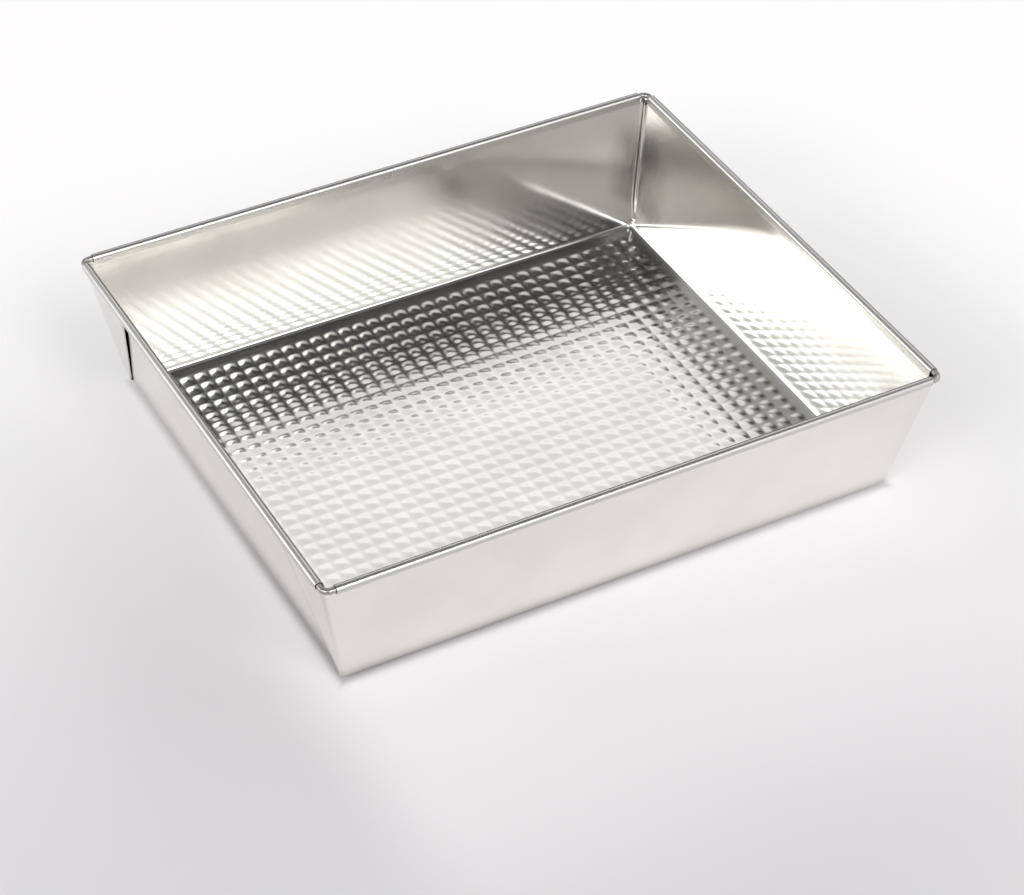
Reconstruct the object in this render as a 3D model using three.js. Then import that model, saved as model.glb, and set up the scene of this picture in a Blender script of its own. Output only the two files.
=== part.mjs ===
// Rectangular cake pan, folded from one sheet of tinplate, with a steel wire rolled into its rim.
// Millimetres, +Z up. The pan stands on z = 0, centred on the origin, with its long side along X.

import * as THREE from 'three';

// Overall sizes
const rimLength = 300; // over the rolled rim, along X
const rimWidth = 256; // over the rolled rim, along Y
const panHeight = 67.4; // from the table to the top of the rim
const wallTaper = 16; // how far each wall leans in, from the edge of the rim to its foot

// Sheet and its bends
const sheet = 0.4;
const footBend = 2; // inside radius between the floor and the walls
const footCorner = 0.8; // plan radius of the floor's flat, at its corners
const cornerBend = 1.2; // radius where a long wall turns round a corner, at mid-sheet

// Corner folds, laid against the outside of the end walls
const foldStart = 3.5; // height above the table at which the layers part
const foldGapFoot = 0.2; // clear gap between the layers, at the foot
const foldGapRim = 0.9; // clear gap between the layers, under the rim
const cornerSlit = 0.3; // gap inside the pan, from a long wall to the fold of the end wall

// Rolled rim and its wire
const wireDiameter = 2.8;
const wireClearance = 0.3; // all round the wire, inside the roll
const wireBend = 3; // radius of the wire at the corners, on its centre line
const wireButt = 0.4; // gap where the two ends of the wire meet
const bareStraight = 0.5; // straight wire that shows between a corner and the roll
const rollSweep = THREE.MathUtils.degToRad(295);
const tuckGap = 0.4; // from the top of the corner folds up to the roll

// Embossed floor
const embossPitch = 7.38;
const embossHeight = 0.6;
const embossMargin = 2.5; // least plain border between the pattern and the foot bend

// Facets
const foldSegments = 6; // in a half turn of the sheet
const footSegments = 3; // up the foot bend
const cornerSegments = 3; // round a corner
const rollSegments = 13; // round the roll
const wireSegments = 8; // along a bend of the wire
const wireSides = 16;

// Sizes that follow from those above
const rollInner = wireDiameter / 2 + wireClearance;
const rollOuter = rollInner + sheet;
const rollHeight = panHeight - rollOuter;
const footLength = rimLength - 2 * wallTaper;
const footWidth = rimWidth - 2 * wallTaper;

// The draft is the lean at which the wall's outer face starts at the foot and touches the roll's inside.
const rollReach = wallTaper - rollOuter;
const draft = Math.acos(rollInner / Math.hypot(rollReach, rollHeight)) - Math.atan2(rollHeight, rollReach);
const lean = Math.tan(draft);
const sheetInPlan = sheet / Math.cos(draft);

// In the flat blank a square of metal lies beyond each corner. Folded along its diagonal and laid
// against the end wall, its edge climbs from the corner of the foot at this angle to the wall's slope.
const wallSpread = Math.atan(Math.sin(draft));
const foldLean = Math.PI / 4 - 2 * wallSpread;

// Levels of the sheet
const footRadius = footBend + sheet;
const footInset = (footRadius * (1 - Math.sin(draft))) / Math.cos(draft);
const footTop = footRadius * (1 - Math.sin(draft));
const foldTop = rollHeight - rollOuter - tuckGap;

// Centres of the foot bend and of the plan radius at the corner of the floor
const bendX = footLength / 2 - footInset;
const bendY = footWidth / 2 - footInset;
const roundX = bendX - footCorner;
const roundY = bendY - footCorner;

// Where the roll ends, short of the rim's corners: past the wire's bend and past the turn of the corner
// fold inside the pan, which lies this far in from the edge of the rim
const foldTurnInset = wallTaper - foldTop * lean + cornerSlit + 2 * sheetInPlan + foldGapRim / 2;
const bareLength = Math.max(rollOuter + wireBend, foldTurnInset) + bareStraight;
const rollEndX = rimLength / 2 - bareLength;
const rollEndY = rimWidth / 2 - bareLength;

// Outside of a wall at a height, measured out from the centre of the foot bend
const reachAt = (z) => footInset + z * lean;

// How far up the corner fold a height is, from 0 at its start to 1 under the roll
const climbAt = (z) => (z - foldStart) / (foldTop - foldStart);

// Points along a round bend of the sheet in plan. Each point has the direction that faces outdoors:
// away from the centre of the bend where side is 1, towards it where side is -1.
function bend(x, y, radius, from, to, segments, side = 1) {
  const points = [];
  for (let i = 0; i <= segments; i++) {
    const angle = THREE.MathUtils.lerp(from, to, i / segments);
    const spoke = new THREE.Vector2(Math.cos(angle), Math.sin(angle));
    points.push({
      at: new THREE.Vector2(x, y).addScaledVector(spoke, radius),
      out: spoke.multiplyScalar(side),
    });
  }
  return points;
}

// The plain round corner at the foot, from the long wall to the end wall
function plainCorner(reach) {
  return bend(roundX, roundY, footCorner + reach, Math.PI / 2, 0, cornerSegments);
}

// The folded corner at a height, at mid-sheet, from the long wall to the end wall. The long wall turns
// the corner and runs on as the outer layer of the fold, doubles back at the fold's edge as the inner
// layer, and doubles back again inside the pan to become the end wall.
function foldedCorner(z) {
  const pitch = sheetInPlan + THREE.MathUtils.lerp(foldGapFoot, foldGapRim, climbAt(z));
  const wallX = bendX + reachAt(z) - sheetInPlan / 2;
  const wallY = bendY + reachAt(z) - sheetInPlan / 2;
  const outerX = wallX + 2 * pitch;
  const edgeY = footWidth / 2 - (z / Math.cos(draft)) * Math.tan(foldLean);
  const insideY = wallY - sheetInPlan - cornerSlit - pitch / 2;
  const runEndX = THREE.MathUtils.lerp(roundX, rollEndX, climbAt(z));
  const runEndY = THREE.MathUtils.lerp(roundY, rollEndY, climbAt(z));
  return [
    { at: new THREE.Vector2(runEndX, wallY), out: new THREE.Vector2(0, 1) },
    ...bend(outerX - cornerBend, wallY - cornerBend, cornerBend, Math.PI / 2, 0, cornerSegments),
    ...bend(outerX - pitch / 2, edgeY, pitch / 2, 0, -Math.PI, foldSegments),
    ...bend(wallX + pitch / 2, insideY, pitch / 2, 0, Math.PI, foldSegments, -1),
    { at: new THREE.Vector2(wallX, runEndY), out: new THREE.Vector2(1, 0) },
  ];
}

// The foremost point of the fold's edge, counted along a folded corner
const foldTip = 1 + (cornerSegments + 1) + foldSegments / 2;

// A closed skin of triangles, made from rows of points
class Skin {
  positions = [];
  triangles = [];

  point(x, y, z) {
    this.positions.push(x, y, z);
    return this.positions.length / 3 - 1;
  }

  plan(index) {
    return new THREE.Vector2(this.positions[3 * index], this.positions[3 * index + 1]);
  }

  // The four corners of one level, mirrored from one, as rows of points that run round the pan
  corners(path, z, outward = 0) {
    const place = ({ at, out }, signX, signY) => {
      const { x, y } = at.clone().addScaledVector(out, outward);
      return this.point(signX * x, signY * y, z);
    };
    return [
      path.map((step) => place(step, 1, 1)),
      path.map((step) => place(step, 1, -1)).reverse(),
      path.map((step) => place(step, -1, -1)),
      path.map((step) => place(step, -1, 1)).reverse(),
    ];
  }

  // A band between two rows; seen from outside, the rows run to the left with the second one on top
  band(lower, upper) {
    for (let i = 0; i + 1 < lower.length; i++) {
      this.triangles.push(lower[i], upper[i], upper[i + 1]);
      this.triangles.push(lower[i], upper[i + 1], lower[i + 1]);
    }
  }

  // A band all round the pan between two levels of four corners
  ring(lower, upper) {
    const around = (level) => [...level.flat(), level[0][0]];
    this.band(around(lower), around(upper));
  }

  // A level face inside an outline of points, round a hole, that looks up or down
  face(outline, hole, looksUp) {
    const points = [...outline, ...hole];
    const holes = hole.length > 0 ? [hole.map((index) => this.plan(index))] : [];
    const contour = outline.map((index) => this.plan(index));
    for (const corner of THREE.ShapeUtils.triangulateShape(contour, holes)) {
      const [a, b, c] = corner.map((index) => points[index]);
      const isUp = THREE.ShapeUtils.area([a, b, c].map((index) => this.plan(index))) > 0;
      this.triangles.push(a, ...(isUp === looksUp ? [b, c] : [c, b]));
    }
  }

  geometry() {
    const geometry = new THREE.BufferGeometry();
    geometry.setAttribute('position', new THREE.Float32BufferAttribute(this.positions, 3));
    geometry.setIndex(this.triangles);
    geometry.computeVertexNormals();
    return geometry;
  }
}

// One face of the floor: a grid of pressed points within a plain border
function addFloor(skin, border, z, looksUp) {
  const columns = Math.floor((2 * (bendX - embossMargin)) / embossPitch);
  const rows = Math.floor((2 * (bendY - embossMargin)) / embossPitch);
  const x = (i) => (i - columns / 2) * embossPitch;
  const y = (j) => (j - rows / 2) * embossPitch;
  const grid = [];
  for (let i = 0; i <= columns; i++) {
    grid.push(Array.from({ length: rows + 1 }, (_, j) => skin.point(x(i), y(j), z)));
  }
  for (let i = 0; i < columns; i++) {
    for (let j = 0; j < rows; j++) {
      const tip = skin.point(x(i + 0.5), y(j + 0.5), z + embossHeight);
      const cell = [grid[i][j], grid[i + 1][j], grid[i + 1][j + 1], grid[i][j + 1]];
      cell.forEach((from, k) => {
        const to = cell[(k + 1) % cell.length];
        skin.triangles.push(tip, ...(looksUp ? [from, to] : [to, from]));
      });
    }
  }
  const edge = [
    ...grid.map((column) => column[0]),
    ...grid[columns].slice(1),
    ...grid.slice(0, -1).reverse().map((column) => column[rows]),
    ...grid[0].slice(1, -1).reverse(),
  ];
  skin.face(border.flat(), edge, looksUp);
}

// The foot bend, with its two faces: levels from the floor up to the walls
function addFoot(skin) {
  const inside = [];
  const outside = [];
  for (let i = 0; i <= footSegments; i++) {
    const angle = THREE.MathUtils.lerp(-Math.PI / 2, -draft, i / footSegments);
    const rise = footRadius + footBend * Math.sin(angle);
    inside.push(skin.corners(plainCorner(footBend * Math.cos(angle)), rise));
    outside.push(skin.corners(plainCorner(footRadius * Math.cos(angle)), footRadius * (1 + Math.sin(angle))));
  }
  for (let i = 0; i < footSegments; i++) {
    skin.ring(inside[i + 1], inside[i]);
    skin.ring(outside[i], outside[i + 1]);
  }
  addFloor(skin, inside[0], sheet, true);
  addFloor(skin, outside[0], 0, false);
  return { inside: inside[footSegments], outside: outside[footSegments] };
}

// The pinch at the foot of each corner, where the layers of the fold run together in one thickness.
// It joins the round foot to the first level of the folded walls, and closes the fold from below.
function addPinch(skin, foot, folded) {
  const rounded = skin.corners(plainCorner(reachAt(foldStart)), foldStart, -sheetInPlan);
  const ends = (row) => [row[0], row.at(-1)];
  const middle = (row) => row.slice(1, -1);
  const rims = folded.inside.map((row, k) => [row[0], ...middle(rounded[k]), row.at(-1)]);
  skin.ring(rims, foot.inside);
  rims.forEach((rim, k) => {
    skin.face([...folded.inside[k], ...middle(rim).reverse()], [], true);
  });

  // Below the fold its outline slopes in with the walls, down to the top of the foot bend.
  const drop = (foldStart - footTop) * lean;
  const below = foldedCorner(foldStart).slice(1, foldTip + 1);
  below.forEach((step) => step.at.subScalar(drop));
  const lowered = skin.corners(below, footTop, sheetInPlan / 2);
  folded.outside.forEach((row, k) => {
    const startsAtLongWall = k % 2 === 0;
    const tip = startsAtLongWall ? foldTip : row.length - 1 - foldTip;
    const skirt = startsAtLongWall ? row.slice(1, tip + 1) : row.slice(tip, -1);
    const mouth = startsAtLongWall ? row.slice(tip) : row.slice(0, tip + 1);
    const [first, last] = ends(row);
    const [footFirst, footLast] = ends(foot.outside[k]);
    skin.face(mouth, [], true);
    skin.face([footFirst, ...lowered[k], footLast, ...middle(foot.outside[k]).reverse()], [], false);
    skin.band([footFirst, ...lowered[k], footLast], [first, ...skirt, last]);
    const nextFoot = foot.outside[(k + 1) % 4][0];
    const nextRow = folded.outside[(k + 1) % 4][0];
    skin.band([footLast, nextFoot], [last, nextRow]);
  });
}

// The rolled rim along one wall: its section is drawn at both ends and joined along the wall.
function addRoll(skin, section, insideEnds, outsideEnds) {
  const going = [insideEnds];
  const coming = [outsideEnds];
  for (let i = 0; i <= rollSegments; i++) {
    const angle = (rollSweep * i) / rollSegments;
    going.push(section(rollOuter, angle));
    coming.push(section(rollInner, angle));
  }
  const rows = [...going, ...[...coming].reverse()];
  rows.slice(1).forEach((row, k) => skin.band(row, rows[k]));
  const atEnd = (list, k) => list.map((row) => row[k]);
  skin.band(atEnd(coming, 0), atEnd(going, 0));
  skin.band(atEnd(going, 1), atEnd(coming, 1));
}

// The sheet: floor, foot bend, walls with their folded corners, and the rolled rim on each wall
function sheetGeometry() {
  const skin = new Skin();
  const foot = addFoot(skin);
  const level = (z) => ({
    inside: skin.corners(foldedCorner(z), z, -sheetInPlan / 2),
    outside: skin.corners(foldedCorner(z), z, sheetInPlan / 2),
  });
  const start = level(foldStart);
  const top = level(foldTop);
  addPinch(skin, foot, start);
  skin.ring(top.inside, start.inside);
  skin.ring(start.outside, top.outside);

  const inward = new THREE.Vector2(-Math.cos(draft), Math.sin(draft));
  const upward = new THREE.Vector2(Math.sin(draft), Math.cos(draft));
  top.inside.forEach((row, k) => {
    skin.band(top.outside[k], row);
    const next = (k + 1) % 4;
    const onEndWall = k % 2 === 0;
    const side = k < 2 ? 1 : -1;
    const centre = (onEndWall ? rimLength : rimWidth) / 2 - rollOuter;
    const section = (radius, angle) => {
      const reach = inward.clone().multiplyScalar(radius * Math.cos(angle));
      reach.addScaledVector(upward, radius * Math.sin(angle));
      const away = centre + reach.x;
      const z = rollHeight + reach.y;
      if (onEndWall) {
        return [skin.point(side * away, side * rollEndY, z), skin.point(side * away, -side * rollEndY, z)];
      }
      return [skin.point(side * rollEndX, -side * away, z), skin.point(-side * rollEndX, -side * away, z)];
    };
    const insideEnds = [row.at(-1), top.inside[next][0]];
    const outsideEnds = [top.outside[k].at(-1), top.outside[next][0]];
    addRoll(skin, section, insideEnds, outsideEnds);
  });
  return skin.geometry();
}

// The wire's centre line: straight in the rolls and bent round at the corners, from butt to butt.
// It advances by one step for each straight and for each part of a bend.
class WireLine extends THREE.Curve {
  constructor() {
    super();
    const halfX = rimLength / 2 - rollOuter;
    const halfY = rimWidth / 2 - rollOuter;
    this.stations = [this.station(wireButt / 2, halfY, 0)];
    for (let corner = 0; corner < 4; corner++) {
      const centreX = (corner < 2 ? 1 : -1) * (halfX - wireBend);
      const centreY = (corner % 3 === 0 ? 1 : -1) * (halfY - wireBend);
      for (let i = 0; i <= wireSegments; i++) {
        const heading = -(Math.PI / 2) * (corner + i / wireSegments);
        const x = centreX - wireBend * Math.sin(heading);
        const y = centreY + wireBend * Math.cos(heading);
        this.stations.push(this.station(x, y, heading));
      }
    }
    this.stations.push(this.station(-wireButt / 2, halfY, 0));
  }

  station(x, y, heading) {
    return {
      point: new THREE.Vector3(x, y, rollHeight),
      tangent: new THREE.Vector3(Math.cos(heading), Math.sin(heading), 0),
    };
  }

  get steps() {
    return this.stations.length - 1;
  }

  getPointAt(u) {
    return this.stations[Math.round(u * this.steps)].point.clone();
  }

  getTangentAt(u) {
    return this.stations[Math.round(u * this.steps)].tangent.clone();
  }
}

function wireGeometry() {
  const section = new THREE.Shape().absarc(0, 0, wireDiameter / 2, 0, 2 * Math.PI);
  const line = new WireLine();
  return new THREE.ExtrudeGeometry(section, {
    steps: line.steps,
    curveSegments: wireSides / 2,
    extrudePath: line,
  });
}

function namedMesh(name, geometry, finish) {
  const mesh = new THREE.Mesh(geometry, new THREE.MeshStandardMaterial(finish));
  mesh.name = name;
  return mesh;
}

const pan = new THREE.Group();
pan.add(namedMesh('pan_sheet', sheetGeometry(), { color: 0xd9d7d3, roughness: 0.12, metalness: 1 }));
pan.add(namedMesh('rim_wire', wireGeometry(), { color: 0xb9b7b4, roughness: 0.25, metalness: 1 }));

export default pan;
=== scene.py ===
"""A cake pan folded from one sheet of bright tinplate, its rim rolled over a wire, on a studio table."""

import math
from typing import NamedTuple

import bmesh
import bpy
import numpy as np
from bpy.props import FloatProperty, FloatVectorProperty, IntProperty, PointerProperty
from mathutils import Matrix, Vector
from mathutils.geometry import tessellate_polygon


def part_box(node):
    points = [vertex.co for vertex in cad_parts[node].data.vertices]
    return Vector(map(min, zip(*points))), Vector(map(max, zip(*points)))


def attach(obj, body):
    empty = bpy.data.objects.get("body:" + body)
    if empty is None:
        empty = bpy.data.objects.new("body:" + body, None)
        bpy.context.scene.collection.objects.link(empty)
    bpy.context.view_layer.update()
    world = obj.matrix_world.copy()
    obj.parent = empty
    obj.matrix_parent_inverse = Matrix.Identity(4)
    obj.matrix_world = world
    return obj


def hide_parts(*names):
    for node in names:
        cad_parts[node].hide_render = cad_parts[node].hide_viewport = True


bl_info = {
    "name": "Folded tinplate cake pan",
    "version": (1, 0, 0),
    "blender": (4, 5, 0),
    "location": "View3D > Sidebar > Cake Pan",
    "description": "Folds a cake pan from one embossed sheet, rolls its rim over a wire and lights it",
    "category": "Add Mesh",
}

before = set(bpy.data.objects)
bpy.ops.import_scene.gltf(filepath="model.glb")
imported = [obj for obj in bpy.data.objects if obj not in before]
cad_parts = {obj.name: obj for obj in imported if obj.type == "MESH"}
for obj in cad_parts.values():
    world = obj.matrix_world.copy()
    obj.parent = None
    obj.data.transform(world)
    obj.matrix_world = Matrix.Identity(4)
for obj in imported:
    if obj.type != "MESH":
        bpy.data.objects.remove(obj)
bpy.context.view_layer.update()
sheet_low, sheet_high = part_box("pan_sheet")
wire_low, wire_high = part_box("rim_wire")

SENSOR_WIDTH = 36.0
CAMERA_REACH = 50.0

# Angles in degrees above which an edge of a piece is drawn sharp
SHEET_CREASE = 35.0
WIRE_CREASE = 50.0

# Steps along a folded corner: up to its turn, along a flap, and along the wall beside the upright fold
LEAD_STEPS = 4
FLAP_STEPS = 3
EASE_STEPS = 10

# Shares of a folded corner: where the flaps leave the roll, where the bulge is full, where the tops rise
FLAP_SHARE = 0.25
BULGE_SHARE = 0.25
RISE_SHARE = 0.6

# The flare of the walls: how late it turns out, and how far from the floor it is full
FLARE_POWER = 7
FLARE_EASE = 0.006

# Powers of the sine that gives a pillow its profile, along X and along Y
PILLOW_POWERS = (1.5, 1.6)

# Cells of noise to a metre of the flat blank, or of the wire
TONE_SCALE = 22.0
SMUDGE_SCALE = 45.0
# Noise that breaks up the painted shade beside the corner folds
FOLD_SHADE_SCALE = 60.0
GRAIN_SCALE = (60.0, 3200.0, 1.0)
LINES_SCALE = (120.0, 9000.0, 1.0)

# Depth in metres of the finest lines, on the sheet and on the wire
GRAIN_STEP = 0.00002
LINES_STEP = 0.00003

# The wire's lines: their strength, how dark and how much rougher they are
LINES_STRENGTH = 0.3
LINES_SHADE = 0.7
LINES_WEAR = 0.15

# Heights in metres over which the floor's dullness ends and the rubbed roll begins
PRESSED_EDGE = (0.001, 0.002)
ROLLED_EDGE = 0.001

# The painted shade beside a corner fold, standing in for a dark reflection: its full width, the heights
# where it comes and goes, and its inside test
FOLD_SHADE_CORE = 0.004
FOLD_SHADE_FOOT = (0.006, 0.016)
FOLD_SHADE_TOP = (0.040, 0.056)
FOLD_SHADE_INSIDE = (-0.10, -0.05)

# The table: its outline, its drop below the pan, and the width of the painted shadow round the foot
TABLE_SIDES = 96
TABLE_DROP = 0.0001
SHADE_WIDTH = 0.0045

# The table whitens with distance from a point before the pan
WHITE_FROM = (-0.16, -0.30, 0.0)
WHITE_REACH = (0.12, 0.56)

# Where the painted glow before the front wall comes and goes, along X and along Y, and its gap to the foot
GLOW_X = ((-0.175, -0.125), (0.0, 0.24))
GLOW_Y = ((-0.31, -0.16), (-0.10, 0.10))
GLOW_GAP = 0.007

# Angles in degrees over which a soft panel's sides and ends fade out, and the top of the tent begins
SIDE_FADE = 5.0
LEVEL_FADE = 4.0
TOP_FADE = (62.0, 72.0)


class SoftPanel(NamedTuple):
    """A pale panel beside the table; angles in degrees, headings clockwise from +Y."""

    heading: float
    half_width: float
    low: float
    high: float
    brightness: float


SOFT_PANELS = (
    SoftPanel(130, 60, -12, 48, 0.95),  # broad window on the right
    SoftPanel(61, 56, 25, 57, 0.84),    # high panel behind the right corner
    SoftPanel(61, 56, 25, 40, 0.26),    # its brighter lower half
    SoftPanel(244, 29, 24, 37, 3.9),    # long lamp on the left
    SoftPanel(235, 20, 37, 52, 2.8),    # its raised end towards the front
    SoftPanel(270, 34, 15, 35, 2.1),    # lower lamp behind it
    SoftPanel(308, 13, 3, 22, 2.2),     # low lamp at the left corner
    SoftPanel(324, 26, 7, 42, 0.66),    # low panel behind the left corner
    SoftPanel(170, 13, 25, 61, 4.0),    # upright lamp in front
    SoftPanel(348, 9, 29, 81, 0.40),    # narrow strip behind the pan
)


def length(name, description, default):
    """A size in metres that a user can change."""
    return FloatProperty(
        name=name, description=description, default=default, min=0.0, precision=5, unit="LENGTH"
    )


def angle(name, description, degrees):
    """An angle that a user can change."""
    return FloatProperty(name=name, description=description, default=math.radians(degrees), subtype="ANGLE")


def colour(name, description, default):
    """A colour that a user can change."""
    return FloatVectorProperty(
        name=name, description=description, default=default, size=3, min=0.0, max=1.0, subtype="COLOR"
    )


def factor(name, description, default, highest=1.0):
    """A plain number that a user can change."""
    return FloatProperty(
        name=name, description=description, default=default, min=0.0, max=highest, precision=3
    )


def count(name, description, default, least=2):
    """A number of steps that a user can change."""
    return IntProperty(name=name, description=description, default=default, min=least)


class PanSizes(bpy.types.PropertyGroup):
    """Sizes of the folded sheet and of its wire."""

    rim_length: length("Rim length", "Over the rolled rim, along X", sheet_high.x - sheet_low.x)
    rim_width: length("Rim width", "Over the rolled rim, along Y", sheet_high.y - sheet_low.y)
    pan_height: length("Height", "From the table to the top of the rim", sheet_high.z - sheet_low.z)
    wall_taper: length("Taper", "How far a wall leans in, from the edge of the rim to its foot", 0.016)
    sheet: length("Sheet", "Thickness of the tinplate", 0.0004)
    foot_bend: length("Foot bend", "Inside radius between the floor and the walls", 0.002)
    foot_corner: length("Floor corner", "Plan radius of the floor's flat at its corners", 0.0008)
    corner_bend: length("Corner bend", "Radius where a long wall turns round a corner", 0.0015)
    fold_start: length("Fold start", "Height at which the layers of a corner part", 0.0035)
    fold_gap_foot: length("Fold gap at foot", "Clear gap between the layers, at the foot", 0.0002)
    fold_gap_rim: length("Fold gap at rim", "Clear gap between the layers, under the rim", 0.0009)
    corner_slit: length("Corner slit", "Gap inside the pan beside the upright fold", 0.0004)
    turn_bulge: length("Fold bulge", "How far the upright fold stands into the pan", 0.0011)
    wall_flare: length("Wall flare", "How far rolling the rim turns out the top of a wall", 0.0002)
    wire_diameter: length("Wire", "Diameter of the rim wire", wire_high.z - wire_low.z)
    wire_clearance: length("Wire clearance", "Room round the wire, inside the roll", 0.0003)
    wire_bend: length("Wire bend", "Radius of the wire at the corners, on its centre line", 0.003)
    wire_butt: length("Wire butt", "Gap where the two ends of the wire meet", 0.0004)
    bare_straight: length("Bare wire", "Straight wire that shows between a corner and the roll", 0.0005)
    roll_sweep: angle("Roll sweep", "How far the rim is rolled round its wire", 295)
    tuck_gap: length("Tuck gap", "From the top of the corner folds up to the roll", 0.0004)
    emboss_pitch: length("Emboss pitch", "Spacing of the pressed pillows", 0.00738)
    emboss_height: length("Emboss height", "How far a pillow rises into the pan", 0.00030)
    emboss_margin: length("Emboss border", "Least plain border inside the foot bend", 0.002)
    emboss_shift: FloatVectorProperty(
        name="Emboss shift", description="How far the pillows lie off the middle of the floor",
        default=(-0.0006, -0.0031), size=2, precision=5, unit="LENGTH",
    )


class PanFinish(bpy.types.PropertyGroup):
    """Colours and gloss of the two metals."""

    tin_light: colour("Tin, light", "Tinplate where it is cleanest", (0.84, 0.828, 0.803))
    tin_dull: colour("Tin, dull", "Tinplate where it is slightly oxidised", (0.80, 0.786, 0.757))
    tin_roughness: factor("Tin roughness", "Gloss of the rolled tinplate", 0.085)
    tin_smudge: factor("Tin smudges", "How much handling dulls the gloss in patches", 0.035)
    grain_depth: factor("Rolling grain", "Strength of the fine lines left by the rolling mill", 0.12)
    press_rub: factor("Pressed floor", "Added roughness from the embossing rolls", 0.045)
    roll_foot: length("Rubbed from", "Height from which the rolling tool has rubbed the rim", 0.0625)
    roll_rub: factor("Rolled edge", "How much duller the rolling leaves the rim", 0.16)
    roll_tint: colour("Rolled tin", "Tinplate rubbed grey by the rolling tool", (0.64, 0.63, 0.61))
    # Painted shade beside the corner folds, standing in for a dark reflection: its tint and how far it
    # spreads
    fold_shade_tint: colour("Film", "Tinplate under the dull film beside the corner folds", (0.38, 0.375, 0.355))
    fold_shade_reach: length("Film reach", "How far the dull film spreads from a corner fold", 0.034)
    wire_tint: colour("Wire", "Drawn steel wire", (0.50, 0.49, 0.47))
    wire_roughness: factor("Wire roughness", "Gloss of the drawn wire", 0.28)


class StudioLook(bpy.types.PropertyGroup):
    """Table, light and camera."""

    table_tint: colour("Table", "Pale matt table", (0.72, 0.705, 0.715))
    # Painted shadow on the table close round the foot, standing in for the pan's contact shadow
    table_foot_shadow: colour("Table at the foot", "Table in the shade close round the foot", (0.47, 0.46, 0.465))
    table_near: colour("Table, near", "What the table adds close to the camera", (0.0, 0.0, 0.005))
    table_far: colour("Table, far", "What the table adds behind the pan", (0.31, 0.31, 0.31))
    # Painted glow on the table before the front wall, standing in for light the wall throws
    table_painted_glow: colour("Table glow", "Light that the front wall throws on the table", (0.15, 0.145, 0.145))
    table_radius: length("Table radius", "Size of the round table top", 4.0)
    tent_tint: colour("Tent", "Colour of the light from the panels", (1.0, 1.0, 1.0))
    tent_dim: factor("Tent, dim", "Brightness of the tent between its panels", 0.02)
    tent_top: factor("Tent, top", "Brightness of the tent overhead", 0.25)
    view_azimuth: angle("Camera azimuth", "Turn of the camera round the pan", -28.80)
    view_elevation: angle("Camera elevation", "Height of the camera above the table, as an angle", 39.70)
    view_roll: angle("Camera roll", "Tilt of the picture", 0.616)
    view_distance: length("Camera distance", "From the camera to its target", 1.4055)
    view_target: FloatVectorProperty(
        name="Camera target", description="Point on the table in the middle of the picture",
        default=(-0.00067, -0.01195, 0.0), size=3, subtype="TRANSLATION",
    )
    view_lens: FloatProperty(
        name="Lens", description="Focal length on a 36 mm sensor", default=108.92, min=1.0, unit="CAMERA"
    )


class PanMesh(bpy.types.PropertyGroup):
    """How finely the meshes are divided."""

    emboss_steps: count("Pillow steps", "Quads across a pillow", 10)
    foot_steps: count("Foot steps", "Quads up the foot bend", 8)
    corner_steps: count("Corner steps", "Quads round a corner", 8)
    fold_steps: count("Fold steps", "Quads round a half turn", 12, 4)
    wall_levels: count("Wall levels", "Quads up a wall", 24)
    wall_columns: count("Wall columns", "Quads along a wall", 64)
    roll_steps: count("Roll steps", "Quads round the roll", 32, 8)
    wire_sides: count("Wire sides", "Quads round the wire", 28, 8)
    wire_steps: count("Wire steps", "Quads along a bend of the wire", 20)


def lerp(start, end, share):
    """The value at a share of the way between two values."""
    return start + (end - start) * share


def smooth(low, high, value):
    """Eases from 0 to 1 between two values."""
    share = np.clip((value - low) / (high - low), 0.0, 1.0)
    return share * share * (3.0 - 2.0 * share)


class Path:
    """A line of points in plan, each with the direction that faces outdoors."""

    def __init__(self):
        self.at = []
        self.out = []

    def step(self, at, out):
        """Adds one point."""
        self.at.append(np.asarray(at, float))
        self.out.append(np.asarray(out, float))

    def straight(self, start, end, out, steps):
        """Adds the points between two ends, without the ends."""
        for i in range(1, steps):
            self.step(lerp(np.asarray(start), np.asarray(end), i / steps), out)

    def bend(self, centre, radius, start, end, steps, side=1.0):
        """Adds a round bend; outdoors is away from its centre where side is 1."""
        for i in range(steps + 1):
            turn = lerp(start, end, i / steps)
            spoke = np.array((math.cos(turn), math.sin(turn)))
            self.step(np.asarray(centre) + radius * spoke, spoke * side)

    def offset(self, outward):
        """The points moved outdoors by a distance."""
        return np.array(self.at) + outward * np.array(self.out)


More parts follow.
